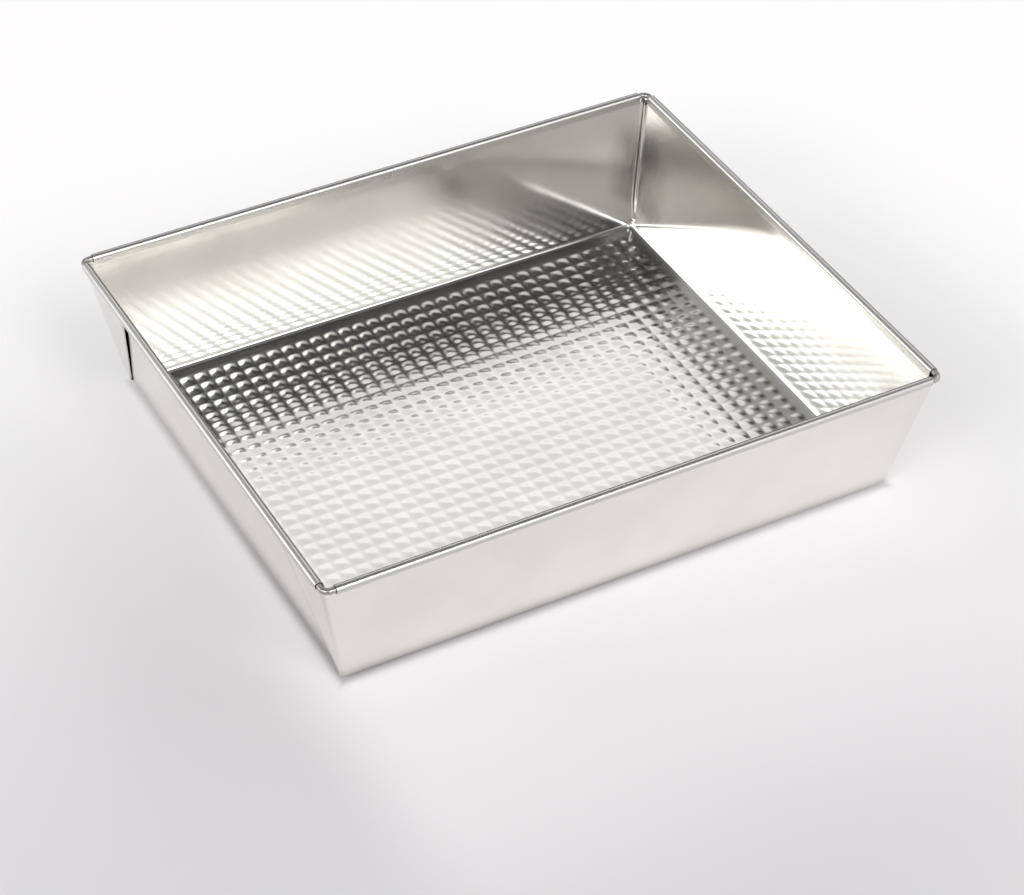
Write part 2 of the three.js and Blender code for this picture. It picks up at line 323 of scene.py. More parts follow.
class PanForm:
    """The folded sheet's sections, worked out from its sizes as they are in the solids."""

    def __init__(self, sizes, mesh):
        self.size = sizes
        self.mesh = mesh
        self.roll_inner = sizes.wire_diameter / 2 + sizes.wire_clearance
        self.roll_outer = self.roll_inner + sizes.sheet
        self.roll_height = sizes.pan_height - self.roll_outer
        self.foot_length = sizes.rim_length - 2 * sizes.wall_taper
        self.foot_width = sizes.rim_width - 2 * sizes.wall_taper
        roll_reach = sizes.wall_taper - self.roll_outer
        slope = math.atan2(self.roll_height, roll_reach)
        self.draft = math.acos(self.roll_inner / math.hypot(roll_reach, self.roll_height)) - slope
        self.lean = math.tan(self.draft)
        self.sheet_in_plan = sizes.sheet / math.cos(self.draft)
        self.fold_lean = math.pi / 4 - 2 * math.atan(math.sin(self.draft))
        self.foot_radius = sizes.foot_bend + sizes.sheet
        self.foot_inset = self.foot_radius * (1 - math.sin(self.draft)) / math.cos(self.draft)
        self.foot_top = self.foot_radius * (1 - math.sin(self.draft))
        self.fold_top = self.roll_height - self.roll_outer - sizes.tuck_gap
        self.bend_x = self.foot_length / 2 - self.foot_inset
        self.bend_y = self.foot_width / 2 - self.foot_inset
        self.round_x = self.bend_x - sizes.foot_corner
        self.round_y = self.bend_y - sizes.foot_corner
        pitch = self.sheet_in_plan + sizes.fold_gap_rim
        turn_inset = sizes.wall_taper - self.fold_top * self.lean + sizes.corner_slit
        turn_inset += 1.5 * self.sheet_in_plan + (pitch + sizes.turn_bulge) / 2
        bare_length = max(self.roll_outer + sizes.wire_bend, turn_inset) + sizes.bare_straight
        self.roll_end_x = sizes.rim_length / 2 - bare_length
        self.roll_end_y = sizes.rim_width / 2 - bare_length

    def reach_at(self, z):
        """Outside of a wall at a height, measured out from the centre of the foot bend."""
        return self.foot_inset + z * self.lean

    def climb_at(self, z):
        """How far up the corner fold a height is, from 0 at its start to 1 under the roll."""
        return (z - self.size.fold_start) / (self.fold_top - self.size.fold_start)

    def plain_corner(self, reach):
        """The plain round corner at the foot, from the long wall to the end wall."""
        path = Path()
        centre = (self.round_x, self.round_y)
        path.bend(centre, self.size.foot_corner + reach, math.pi / 2, 0.0, self.mesh.corner_steps)
        return path

    def folded_corner(self, z):
        """The folded corner at a height, from the long wall round the fold to the end wall."""
        climb = self.climb_at(z)
        pitch = self.sheet_in_plan + lerp(self.size.fold_gap_foot, self.size.fold_gap_rim, climb)
        wall_x = self.bend_x + self.reach_at(z) - self.sheet_in_plan / 2
        wall_y = self.bend_y + self.reach_at(z) - self.sheet_in_plan / 2
        outer_x = wall_x + 2 * pitch
        edge_y = self.foot_width / 2 - z / math.cos(self.draft) * math.tan(self.fold_lean)
        bulge = self.size.turn_bulge * float(smooth(0.0, BULGE_SHARE, climb))
        turn_radius = (pitch + bulge) / 2
        inside_y = wall_y - self.sheet_in_plan - self.size.corner_slit - turn_radius
        run_end_x = lerp(self.round_x, self.roll_end_x, climb)
        run_end_y = lerp(self.round_y, self.roll_end_y, climb)
        turn = self.size.corner_bend
        folds = self.mesh.fold_steps
        path = Path()
        path.step((run_end_x, wall_y), (0.0, 1.0))
        path.straight((run_end_x, wall_y), (outer_x - turn, wall_y), (0.0, 1.0), LEAD_STEPS)
        path.bend((outer_x - turn, wall_y - turn), turn, math.pi / 2, 0.0, self.mesh.corner_steps)
        roll_y = max(run_end_y, lerp(wall_y - turn, edge_y, FLAP_SHARE))
        path.step((outer_x, roll_y), (1.0, 0.0))
        path.straight((outer_x, roll_y), (outer_x, edge_y), (1.0, 0.0), FLAP_STEPS)
        path.bend((outer_x - pitch / 2, edge_y), pitch / 2, 0.0, -math.pi, folds)
        roll_y = min(roll_y, lerp(inside_y, edge_y, FLAP_SHARE))
        flap_x = wall_x + pitch
        path.straight((flap_x, edge_y), (flap_x, roll_y), (-1.0, 0.0), FLAP_STEPS)
        path.step((flap_x, roll_y), (-1.0, 0.0))
        path.bend((flap_x - turn_radius, inside_y), turn_radius, 0.0, math.pi, folds, -1.0)
        span = inside_y - run_end_y
        for i in range(1, EASE_STEPS):
            share = i / EASE_STEPS
            eased = float(smooth(0.0, 1.0, 1.0 - share))
            slope = bulge * 6.0 * share * (1.0 - share) / span
            out = np.array((1.0, slope)) / math.hypot(1.0, slope)
            path.step((wall_x - bulge * eased, inside_y - span * share), out)
        path.step((wall_x, run_end_y), (1.0, 0.0))
        return path

    def corner_tops(self):
        """How far each point along a folded corner stands above the flaps' tops."""
        beside_wire = self.roll_height - self.fold_top
        under_wire = beside_wire - self.size.wire_diameter / 2 - self.size.wire_clearance
        bends = self.mesh.corner_steps + 1
        folds = self.mesh.fold_steps + 1
        tops = [0.0]
        tops += [beside_wire] * (LEAD_STEPS - 2)
        tops += [under_wire] * (1 + bends)
        tops += [0.0] * (FLAP_STEPS + folds + FLAP_STEPS)
        tops += [under_wire] * folds
        tops += [0.0] * EASE_STEPS
        return np.array(tops)

    def wall_level(self, z):
        """The folded corner at a height, with the tops of the bare corners drawn up to the wire."""
        lift = self.corner_tops() * float(smooth(RISE_SHARE, 1.0, self.climb_at(z)))
        paths = {rise: self.folded_corner(z + rise) for rise in set(lift.tolist())}
        path = Path()
        for i, rise in enumerate(lift.tolist()):
            path.step(paths[rise].at[i], paths[rise].out[i])
        return path, z + lift

    def fold_tip(self):
        """The foremost point of the fold's edge, counted along a folded corner."""
        return LEAD_STEPS + (self.mesh.corner_steps + 1) + FLAP_STEPS + self.mesh.fold_steps // 2

    def relaxed(self, points):
        """Lets the walls stand a little steeper and turn out just under the rim."""
        x, y, z = points.T.copy()
        rise = np.clip(z / self.fold_top, 0.0, 1.0)
        inward = self.size.wall_flare * (rise - rise ** FLARE_POWER)
        on_end = smooth(0.0, FLARE_EASE, np.abs(x) - self.bend_x)
        on_long = smooth(0.0, FLARE_EASE, np.abs(y) - self.bend_y)
        return np.column_stack((x - np.sign(x) * inward * on_end, y - np.sign(y) * inward * on_long, z))

    def blank_place(self, points):
        """Where each point lay in the flat blank, for the rolling grain."""
        x, y, z = points.T
        over_x = np.abs(x) - self.bend_x
        over_y = np.abs(y) - self.bend_y
        risen_x = np.hypot(np.maximum(over_x, 0.0), z)
        risen_y = np.hypot(np.maximum(over_y, 0.0), z)
        on_floor = np.maximum(over_x, over_y) <= 0.0
        on_long = ~on_floor & (over_y > over_x)
        on_end = ~on_floor & ~on_long
        across = np.where(on_end, np.sign(x) * (self.bend_x + risen_x), x)
        away = np.where(on_long, np.sign(y) * (self.bend_y + risen_y), y)
        return np.column_stack((across, away))


class Level:
    """One level of a skin: four corner rows, and the runs along the walls between them."""

    def __init__(self, corners, runs):
        self.corners = corners
        self.runs = runs

    def around(self):
        """All its points once round the pan, back to the first."""
        loop = []
        for corner, run in zip(self.corners, self.runs):
            loop += list(corner) + list(run)
        return loop + [loop[0]]

    def wall(self, k):
        """The points along the wall after corner k, from corner to corner."""
        return [self.corners[k][-1], *self.runs[k], self.corners[(k + 1) % 4][0]]


class Skin:
    """A closed skin of faces, made from rows of points."""

    MIRRORS = ((1, 1, False), (1, -1, True), (-1, -1, False), (-1, 1, True))

    def __init__(self, columns):
        self.columns = columns
        self.points = []
        self.faces = []

    def add(self, points):
        """Adds points and gives their numbers."""
        first = len(self.points)
        self.points.extend(map(tuple, points))
        return list(range(first, len(self.points)))

    def level(self, plan, heights):
        """Four mirrored corners from one, and the runs between them."""
        corners = []
        heights = np.broadcast_to(heights, len(plan))
        for sign_x, sign_y, turned in self.MIRRORS:
            row = [(sign_x * x, sign_y * y, z) for (x, y), z in zip(plan, heights)]
            corners.append(self.add(row[::-1] if turned else row))
        return Level(corners, [self.run(corners[k][-1], corners[(k + 1) % 4][0]) for k in range(4)])

    def run(self, first, last):
        """Points spread evenly between two points."""
        start = np.array(self.points[first])
        end = np.array(self.points[last])
        return self.add([lerp(start, end, i / self.columns) for i in range(1, self.columns)])

    def band(self, lower, upper):
        """A strip of quads between two rows."""
        for i in range(len(lower) - 1):
            self.faces.append((lower[i], lower[i + 1], upper[i + 1], upper[i]))

    def ring(self, lower, upper):
        """A strip all round the pan between two levels."""
        self.band(lower.around(), upper.around())

    def face(self, outline):
        """One level face inside an outline."""
        self.faces.append(tuple(outline))

    def border(self, outline, hole):
        """Triangles between an outline and a hole in it."""
        numbers = outline + hole
        loops = [[Vector(self.points[i]) for i in loop] for loop in (outline, hole)]
        for corner in tessellate_polygon(loops):
            self.faces.append(tuple(numbers[i] for i in corner))


def pillow(share, power):
    """Profile of the embossing across one pillow, from 0 at its edges to 1 in its middle."""
    return np.abs(np.sin(np.pi * share)) ** power


def pillow_edges(half, pitch, shift):
    """The first and last edge of the row of whole pillows that fits on a half width, in pitches."""
    first = math.ceil((-half - shift) / pitch + 0.5) - 0.5
    last = math.floor((half - shift) / pitch - 0.5) + 0.5
    return first, last


def add_floor(skin, form, border, z):
    """One face of the floor: rows of pressed pillows within a plain border."""
    pitch = form.size.emboss_pitch
    steps = form.mesh.emboss_steps
    shift_x, shift_y = form.size.emboss_shift
    first_x, last_x = pillow_edges(form.bend_x - form.size.emboss_margin, pitch, shift_x)
    first_y, last_y = pillow_edges(form.bend_y - form.size.emboss_margin, pitch, shift_y)
    across = np.arange(round((last_x - first_x) * steps) + 1) / steps
    away = np.arange(round((last_y - first_y) * steps) + 1) / steps
    profiles = [pillow(share, power) for share, power in zip((across, away), PILLOW_POWERS)]
    rise = form.size.emboss_height * np.outer(*profiles)
    places = ((first_x + across) * pitch + shift_x, (first_y + away) * pitch + shift_y)
    x, y = np.meshgrid(*places, indexing="ij")
    points = np.column_stack((x.ravel(), y.ravel(), z + rise.ravel()))
    grid = np.array(skin.add(points)).reshape(x.shape)
    quads = np.stack((grid[:-1, :-1], grid[1:, :-1], grid[1:, 1:], grid[:-1, 1:]), axis=-1)
    skin.faces.extend(map(tuple, quads.reshape(-1, 4).tolist()))
    edge = [*grid[:-1, 0], *grid[-1, :-1], *grid[:0:-1, -1], *grid[0, :0:-1]]
    skin.border(border.around()[:-1], [int(i) for i in edge])


def add_foot(skin, form):
    """The foot bend with its two faces, and the floor inside it."""
    inside = []
    outside = []
    steps = form.mesh.foot_steps
    for i in range(steps + 1):
        turn = lerp(-math.pi / 2, -form.draft, i / steps)
        bend = form.size.foot_bend
        plan = form.plain_corner(bend * math.cos(turn)).offset(0.0)
        inside.append(skin.level(plan, form.foot_radius + bend * math.sin(turn)))
        plan = form.plain_corner(form.foot_radius * math.cos(turn)).offset(0.0)
        outside.append(skin.level(plan, form.foot_radius * (1 + math.sin(turn))))
    for i in range(steps):
        skin.ring(inside[i], inside[i + 1])
        skin.ring(outside[i], outside[i + 1])
    add_floor(skin, form, inside[0], form.size.sheet)
    add_floor(skin, form, outside[0], 0.0)
    return inside[-1], outside[-1]


def add_pinch(skin, form, foot_inside, foot_outside, fold_inside, fold_outside):
    """The pinch at each corner's foot, where the layers of the fold run together in one thickness."""
    start = form.size.fold_start
    plan = form.plain_corner(form.reach_at(start)).offset(-form.sheet_in_plan)
    rims = []
    for k, (sign_x, sign_y, turned) in enumerate(Skin.MIRRORS):
        row = [(sign_x * x, sign_y * y, start) for x, y in plan[1:-1]]
        middle = skin.add(row[::-1] if turned else row)
        folded = fold_inside.corners[k]
        rims.append([folded[0], *middle, folded[-1]])
        skin.face([*folded, *middle[::-1]])
    skin.ring(foot_inside, Level(rims, fold_inside.runs))

    tip = form.fold_tip()
    drop = (start - form.foot_top) * form.lean
    below = form.folded_corner(start).offset(form.sheet_in_plan / 2)[1:tip + 1] - drop
    skirts = []
    lowered = []
    for k, (sign_x, sign_y, turned) in enumerate(Skin.MIRRORS):
        row = [(sign_x * x, sign_y * y, form.foot_top) for x, y in below]
        low = skin.add(row[::-1] if turned else row)
        folded = fold_outside.corners[k]
        foot = foot_outside.corners[k]
        end = len(folded) - 1 - tip
        skirt = folded[end:-1] if turned else folded[1:tip + 1]
        mouth = folded[:end + 1] if turned else folded[tip:]
        skin.face(mouth)
        lowered.append([foot[0], *low, foot[-1]])
        skirts.append([folded[0], *skirt, folded[-1]])
        skin.face([foot[0], *low, foot[-1], *foot[-2:0:-1]])
    skin.ring(Level(lowered, foot_outside.runs), Level(skirts, fold_outside.runs))


def add_roll(skin, form, k, inside_row, outside_row):
    """The rolled rim along the wall after corner k."""
    on_end_wall = k % 2 == 0
    side = 1 if k < 2 else -1
    rim = form.size.rim_length if on_end_wall else form.size.rim_width
    half_run = form.roll_end_y if on_end_wall else form.roll_end_x
    stations = np.linspace(half_run, -half_run, skin.columns + 1) * side
    inward = np.array((-math.cos(form.draft), math.sin(form.draft)))
    upward = np.array((math.sin(form.draft), math.cos(form.draft)))
    going = [inside_row]
    coming = [outside_row]
    for i in range(form.mesh.roll_steps + 1):
        turn = form.size.roll_sweep * i / form.mesh.roll_steps
        spoke = inward * math.cos(turn) + upward * math.sin(turn)
        for rows, radius in ((going, form.roll_outer), (coming, form.roll_inner)):
            away = side * (rim / 2 - form.roll_outer + radius * spoke[0])
            z = form.roll_height + radius * spoke[1]
            points = [(away, s, z) if on_end_wall else (s, -away, z) for s in stations]
            rows.append(skin.add(points))
    rows = going + coming[::-1]
    for lower, upper in zip(rows, rows[1:]):
        skin.band(lower, upper)
    for end in (0, -1):
        skin.band([row[end] for row in going], [row[end] for row in coming])


def sheet_skin(form):
    """The whole sheet: floor, foot bend, walls with folded corners, and the rolled rim."""
    skin = Skin(form.mesh.wall_columns)
    foot_inside, foot_outside = add_foot(skin, form)
    inside = []
    outside = []
    for z in np.linspace(form.size.fold_start, form.fold_top, form.mesh.wall_levels + 1):
        path, heights = form.wall_level(float(z))
        inside.append(skin.level(path.offset(-form.sheet_in_plan / 2), heights))
        outside.append(skin.level(path.offset(form.sheet_in_plan / 2), heights))
    add_pinch(skin, form, foot_inside, foot_outside, inside[0], outside[0])
    for i in range(form.mesh.wall_levels):
        skin.ring(inside[i], inside[i + 1])
        skin.ring(outside[i], outside[i + 1])
    for k in range(4):
        skin.band(inside[-1].corners[k], outside[-1].corners[k])
        add_roll(skin, form, k, inside[-1].wall(k), outside[-1].wall(k))
    return skin


def wire_stations(form):
    """Points along the wire's centre line, each with its heading, from butt to butt."""
    sizes = form.size
    steps = form.mesh.wire_steps
    half_x = sizes.rim_length / 2 - form.roll_outer
    half_y = sizes.rim_width / 2 - form.roll_outer
    stations = [(sizes.wire_butt / 2, half_y, 0.0)]
    for corner in range(4):
        centre_x = (1 if corner < 2 else -1) * (half_x - sizes.wire_bend)
        centre_y = (1 if corner % 3 == 0 else -1) * (half_y - sizes.wire_bend)
        for i in range(steps + 1):
            heading = -math.pi / 2 * (corner + i / steps)
            x = centre_x - sizes.wire_bend * math.sin(heading)
            y = centre_y + sizes.wire_bend * math.cos(heading)
            stations.append((x, y, heading))
    stations.append((-sizes.wire_butt / 2, half_y, 0.0))
    return stations


def wire_skin(form):
    """The wire's skin, and the place of each point along and round the wire."""
    skin = Skin(1)
    sides = form.mesh.wire_sides
    radius = form.size.wire_diameter / 2
    stations = wire_stations(form)
    places = []
    rings = []
    run = 0.0
    for i, (x, y, heading) in enumerate(stations):
        if i:
            run += math.dist((x, y), stations[i - 1][:2])
        points = []
        for side in range(sides):
            turn = 2 * math.pi * side / sides
            aside = radius * math.cos(turn)
            points.append((
                x - aside * math.sin(heading),
                y + aside * math.cos(heading),
                form.roll_height + radius * math.sin(turn),
            ))
            places.append((run, radius * turn))
        ring = skin.add(points)
        rings.append(ring + ring[:1])
    for lower, upper in zip(rings, rings[1:]):
        skin.band(lower, upper)
    skin.face(rings[0][:-1])
    skin.face(rings[-1][:-1])
    return skin, places


def make_piece(name, points, faces, places, place_name, crease):
    """A smooth-shaded mesh object, with a map of places on its surface."""
    mesh = bpy.data.meshes.new(name)
    mesh.from_pydata(points, [], faces)
    mesh.validate()
    shape = bmesh.new()
    shape.from_mesh(mesh)
    bmesh.ops.recalc_face_normals(shape, faces=shape.faces)
    shape.to_mesh(mesh)
    shape.free()
    corners = np.zeros(len(mesh.loops), np.int32)
    mesh.loops.foreach_get("vertex_index", corners)
    layer = mesh.uv_layers.new(name=place_name)
    layer.data.foreach_set("uv", np.asarray(places, np.float32)[corners].ravel())
    mesh.polygons.foreach_set("use_smooth", np.ones(len(mesh.polygons), bool))
    mesh.set_sharp_from_angle(angle=math.radians(crease))
    mesh.update()
    piece = bpy.data.objects.new(name, mesh)
    bpy.context.scene.collection.objects.link(piece)
    return piece


class Recipe:
    """A material's or world's nodes, added one by one."""

    def __init__(self, tree):
        self.tree = tree
        self.tree.nodes.clear()

    def node(self, kind, **settings):
        """Adds a node and sets its own settings."""
        node = self.tree.nodes.new(kind)
        for name, value in settings.items():
            setattr(node, name, value)
        return node

    def link(self, source, target):
        """Joins an output to an input."""
        self.tree.links.new(source, target)

    def maths(self, operation, first, second):
        """A Math node on two values, each a number or an output."""
        node = self.node("ShaderNodeMath", operation=operation)
        for socket, value in zip(node.inputs, (first, second)):
            if isinstance(value, bpy.types.NodeSocket):
                self.link(value, socket)
            else:
                socket.default_value = value
        return node.outputs[0]

    def spread(self, source, low, high, to_low, to_high, easing="SMOOTHSTEP"):
        """Maps a range of values to another."""
        node = self.node("ShaderNodeMapRange", interpolation_type=easing)
        self.link(source, node.inputs["Value"])
        node.inputs["From Min"].default_value = low
        node.inputs["From Max"].default_value = high
        node.inputs["To Min"].default_value = to_low
        node.inputs["To Max"].default_value = to_high
        return node.outputs["Result"]

    def noise(self, place, scale, detail=3.0, roughness=0.5):
        """A cloud of noise at a place."""
        node = self.node("ShaderNodeTexNoise")
        self.link(place, node.inputs["Vector"])
        node.inputs["Scale"].default_value = scale
        node.inputs["Detail"].default_value = detail
        node.inputs["Roughness"].default_value = roughness
        return node.outputs["Fac"]

    def stretched(self, place, scale):
        """A place stretched along its axes."""
        node = self.node("ShaderNodeMapping")
        self.link(place, node.inputs["Vector"])
        node.inputs["Scale"].default_value = scale
        return node.outputs["Vector"]

    def blend(self, share, first, second):
        """A colour between two colours."""
        node = self.node("ShaderNodeMix", data_type="RGBA")
        self.link(share, node.inputs["Factor"])
        for socket, value in ((node.inputs[6], first), (node.inputs[7], second)):
            if isinstance(value, bpy.types.NodeSocket):
                self.link(value, socket)
            else:
                socket.default_value = (*value, 1.0)
        return node.outputs[2]

    def product(self, first, *others):
        """All the shares multiplied."""
        for other in others:
            first = self.maths("MULTIPLY", first, other)
        return first

    def added(self, first, *others):
        """All the shaders added up."""
        for other in others:
            node = self.node("ShaderNodeAddShader")
            self.link(first, node.inputs[0])
            self.link(other, node.inputs[1])
            first = node.outputs["Shader"]
        return first

    def lined(self, metal, lines, strength, step):
        """Fine lines pressed into a metal."""
        bump = self.node("ShaderNodeBump")
        bump.inputs["Strength"].default_value = strength
        bump.inputs["Distance"].default_value = step
        self.link(lines, bump.inputs["Height"])
        self.link(bump.outputs["Normal"], metal.inputs["Normal"])

    def surface(self, shader, kind="ShaderNodeOutputMaterial"):
        """Ends the recipe with a shader."""
        self.link(shader, self.node(kind).inputs["Surface"])


def new_material(name):
    """An empty node material."""
    material = bpy.data.materials.new(name)
    material.use_nodes = True
    return material, Recipe(material.node_tree)


def painted_fold_shade(recipe, finish, form, axes, place):
    """Share of the painted shade beside the corner folds, on the inside of the end walls; it stands in for
    a dark reflection.
    """
    climb = axes.outputs["Z"]
    out = recipe.maths("MULTIPLY", climb, form.lean)
    gaps = []
    for axis, half in (("X", form.foot_length / 2), ("Y", form.foot_width / 2)):
        wall = recipe.maths("ADD", out, half)
        gaps.append(recipe.maths("SUBTRACT", wall, recipe.maths("ABSOLUTE", axes.outputs[axis], 0.0)))
    beside = recipe.spread(recipe.maths("MAXIMUM", *gaps), FOLD_SHADE_CORE, finish.fold_shade_reach, 1.0, 0.0)
    above = recipe.spread(climb, *FOLD_SHADE_FOOT, 0.0, 1.0)
    below = recipe.spread(climb, *FOLD_SHADE_TOP, 1.0, 0.0)
    facing = recipe.node("ShaderNodeSeparateXYZ")
    recipe.link(recipe.node("ShaderNodeNewGeometry").outputs["Normal"], facing.inputs["Vector"])
    inwards = recipe.maths("MULTIPLY", facing.outputs["X"], axes.outputs["X"])
    inside = recipe.spread(inwards, *FOLD_SHADE_INSIDE, 1.0, 0.0)
    uneven = recipe.spread(recipe.noise(place, FOLD_SHADE_SCALE), 0.3, 0.65, 0.75, 1.0)
    return recipe.product(beside, uneven, above, below, inside)


def tinplate(finish, form):
    """Bright tinplate: rolling grain, smudges, a dull pressed floor, a rubbed rim, painted shade beside the
    folds.
    """
    material, recipe = new_material("bright_tinplate")
    place = recipe.node("ShaderNodeUVMap", uv_map="blank").outputs["UV"]
    metal = recipe.node("ShaderNodeBsdfPrincipled")
    metal.inputs["Metallic"].default_value = 1.0
    axes = recipe.node("ShaderNodeSeparateXYZ")
    recipe.link(recipe.node("ShaderNodeTexCoord").outputs["Object"], axes.inputs["Vector"])
    climb = axes.outputs["Z"]
    rolled = recipe.spread(climb, finish.roll_foot, finish.roll_foot + ROLLED_EDGE, 0.0, 1.0)
    tone = recipe.spread(recipe.noise(place, TONE_SCALE, 4.0), 0.35, 0.7, 0.0, 1.0)
    sheet = recipe.blend(tone, finish.tin_light, finish.tin_dull)
    # Painted shade beside the corner folds darkens the tin colour, standing in for a dark reflection
    fold_shaded = recipe.blend(painted_fold_shade(recipe, finish, form, axes, place), sheet, finish.fold_shade_tint)
    recipe.link(recipe.blend(rolled, fold_shaded, finish.roll_tint), metal.inputs["Base Color"])
    smudge = recipe.noise(place, SMUDGE_SCALE, 5.0, 0.6)
    smudged = finish.tin_roughness + finish.tin_smudge
    gloss = recipe.spread(smudge, 0.3, 0.75, finish.tin_roughness, smudged)
    rubbed = recipe.spread(rolled, 0.0, 1.0, 0.0, finish.roll_rub, "LINEAR")
    pressed = recipe.spread(climb, *PRESSED_EDGE, finish.press_rub, 0.0, "LINEAR")
    worn = recipe.maths("ADD", rubbed, pressed)
    recipe.link(recipe.maths("ADD", gloss, worn), metal.inputs["Roughness"])
    grain = recipe.noise(recipe.stretched(place, GRAIN_SCALE), 1.0, 2.0)
    recipe.lined(metal, grain, finish.grain_depth, GRAIN_STEP)
    recipe.surface(metal.outputs["BSDF"])
    return material


def drawn_wire(finish):
    """Drawn steel wire: fine lines along its length and uneven grey tone."""
    material, recipe = new_material("drawn_steel_wire")
    place = recipe.node("ShaderNodeUVMap", uv_map="length").outputs["UV"]
    metal = recipe.node("ShaderNodeBsdfPrincipled")
    metal.inputs["Metallic"].default_value = 1.0
    darker = [LINES_SHADE * value for value in finish.wire_tint]
    lines = recipe.noise(recipe.stretched(place, LINES_SCALE), 1.0, 2.0)
    recipe.link(recipe.blend(lines, finish.wire_tint, darker), metal.inputs["Base Color"])
    worn = finish.wire_roughness + LINES_WEAR
    recipe.link(recipe.spread(lines, 0.3, 0.7, finish.wire_roughness, worn), metal.inputs["Roughness"])
    recipe.lined(metal, lines, LINES_STRENGTH, LINES_STEP)
    recipe.surface(metal.outputs["BSDF"])
    return material


def seen_directly(recipe):
    """1 for what the camera sees itself, in metal or through glass, 0 for what only lights the scene."""
    path = recipe.node("ShaderNodeLightPath")
    mirrored = recipe.maths("MAXIMUM", path.outputs["Is Glossy Ray"], path.outputs["Is Transmission Ray"])
    return recipe.maths("MAXIMUM", path.outputs["Is Camera Ray"], mirrored)


def painted_glow(recipe, look, axes, beyond, direct):
    """A painted glow on the table before the front wall, standing in for the light that the wall throws."""
    shares = [recipe.spread(beyond, 0.0, GLOW_GAP, 0.0, 1.0)]
    for axis, (comes, goes) in (("X", GLOW_X), ("Y", GLOW_Y)):
        shares.append(recipe.spread(axes.outputs[axis], *comes, 0.0, 1.0))
        shares.append(recipe.spread(axes.outputs[axis], *goes, 1.0, 0.0))
    glow = recipe.node("ShaderNodeEmission")
    glow.inputs["Color"].default_value = (*look.table_painted_glow, 1.0)
    recipe.link(recipe.product(direct, *shares), glow.inputs["Strength"])
    return glow.outputs["Emission"]


def pale_table(look, foot):
    """A pale matt table with a painted shadow close round the foot, a painted glow before the pan, and
    white towards the back.
    """
    material, recipe = new_material("pale_table")
    place = recipe.node("ShaderNodeTexCoord").outputs["Object"]
    axes = recipe.node("ShaderNodeSeparateXYZ")
    recipe.link(place, axes.inputs["Vector"])
    past = []
    for axis, half in zip(("X", "Y"), foot):
        past.append(recipe.maths("SUBTRACT", recipe.maths("ABSOLUTE", axes.outputs[axis], 0.0), half))
    beyond = recipe.maths("MAXIMUM", *past)
    matt = recipe.node("ShaderNodeBsdfDiffuse")
    # Painted contact shadow: the table colour darkens close round the foot
    shaded = recipe.spread(beyond, 0.0, SHADE_WIDTH, 1.0, 0.0)
    recipe.link(recipe.blend(shaded, look.table_tint, look.table_foot_shadow), matt.inputs["Color"])
    reach = recipe.node("ShaderNodeVectorMath", operation="DISTANCE")
    recipe.link(place, reach.inputs[0])
    reach.inputs[1].default_value = WHITE_FROM
    far = recipe.spread(reach.outputs["Value"], *WHITE_REACH, 0.0, 1.0)
    direct = seen_directly(recipe)
    white = recipe.node("ShaderNodeEmission")
    recipe.link(recipe.blend(far, look.table_near, look.table_far), white.inputs["Color"])
    recipe.link(direct, white.inputs["Strength"])
    glow = painted_glow(recipe, look, axes, beyond, direct)
    recipe.surface(recipe.added(matt.outputs["BSDF"], white.outputs["Emission"], glow))
    return material


def soft_panel(recipe, level_direction, climb, panel):
    """How brightly one soft panel shines from a direction, fading out over its edges."""
    heading = math.radians(panel.heading)
    facing = recipe.node("ShaderNodeVectorMath", operation="DOT_PRODUCT")
    recipe.link(level_direction, facing.inputs[0])
    facing.inputs[1].default_value = (math.sin(heading), math.cos(heading), 0.0)
    outer = math.cos(math.radians(panel.half_width + SIDE_FADE))
    inner = math.cos(math.radians(panel.half_width - SIDE_FADE))
    across = recipe.spread(facing.outputs["Value"], outer, inner, 0.0, panel.brightness)
    low = math.radians(panel.low)
    high = math.radians(panel.high)
    fade = math.radians(LEVEL_FADE)
    above = recipe.spread(climb, low - fade, low + fade, 0.0, 1.0)
    below = recipe.spread(climb, high - fade, high + fade, 1.0, 0.0)
    return recipe.product(across, above, below)


def light_tent(look):
    """Soft light from pale panels that stand round the table."""
    world = bpy.data.worlds.new("light_tent")
    world.use_nodes = True
    recipe = Recipe(world.node_tree)
    direction = recipe.node("ShaderNodeTexCoord").outputs["Generated"]
    level = recipe.node("ShaderNodeVectorMath", operation="NORMALIZE")
    recipe.link(recipe.stretched(direction, (1.0, 1.0, 0.0)), level.inputs[0])
    axes = recipe.node("ShaderNodeSeparateXYZ")
    recipe.link(direction, axes.inputs["Vector"])
    climb = recipe.maths("ARCSINE", axes.outputs["Z"], 0.0)
    top = [math.radians(degrees) for degrees in TOP_FADE]
    shine = recipe.spread(climb, *top, look.tent_dim, look.tent_top)
    for panel in SOFT_PANELS:
        shine = recipe.maths("ADD", shine, soft_panel(recipe, level.outputs["Vector"], climb, panel))
    sky = recipe.node("ShaderNodeBackground")
    sky.inputs["Color"].default_value = (*look.tent_tint, 1.0)
    recipe.link(shine, sky.inputs["Strength"])
    plain = recipe.node("ShaderNodeBackground")
    plain.inputs["Color"].default_value = (1.0, 1.0, 1.0, 1.0)
    choice = recipe.node("ShaderNodeMixShader")
    recipe.link(recipe.node("ShaderNodeLightPath").outputs["Is Camera Ray"], choice.inputs["Fac"])
    recipe.link(sky.outputs["Background"], choice.inputs[1])
    recipe.link(plain.outputs["Background"], choice.inputs[2])
    recipe.surface(choice.outputs["Shader"], "ShaderNodeOutputWorld")
    return world


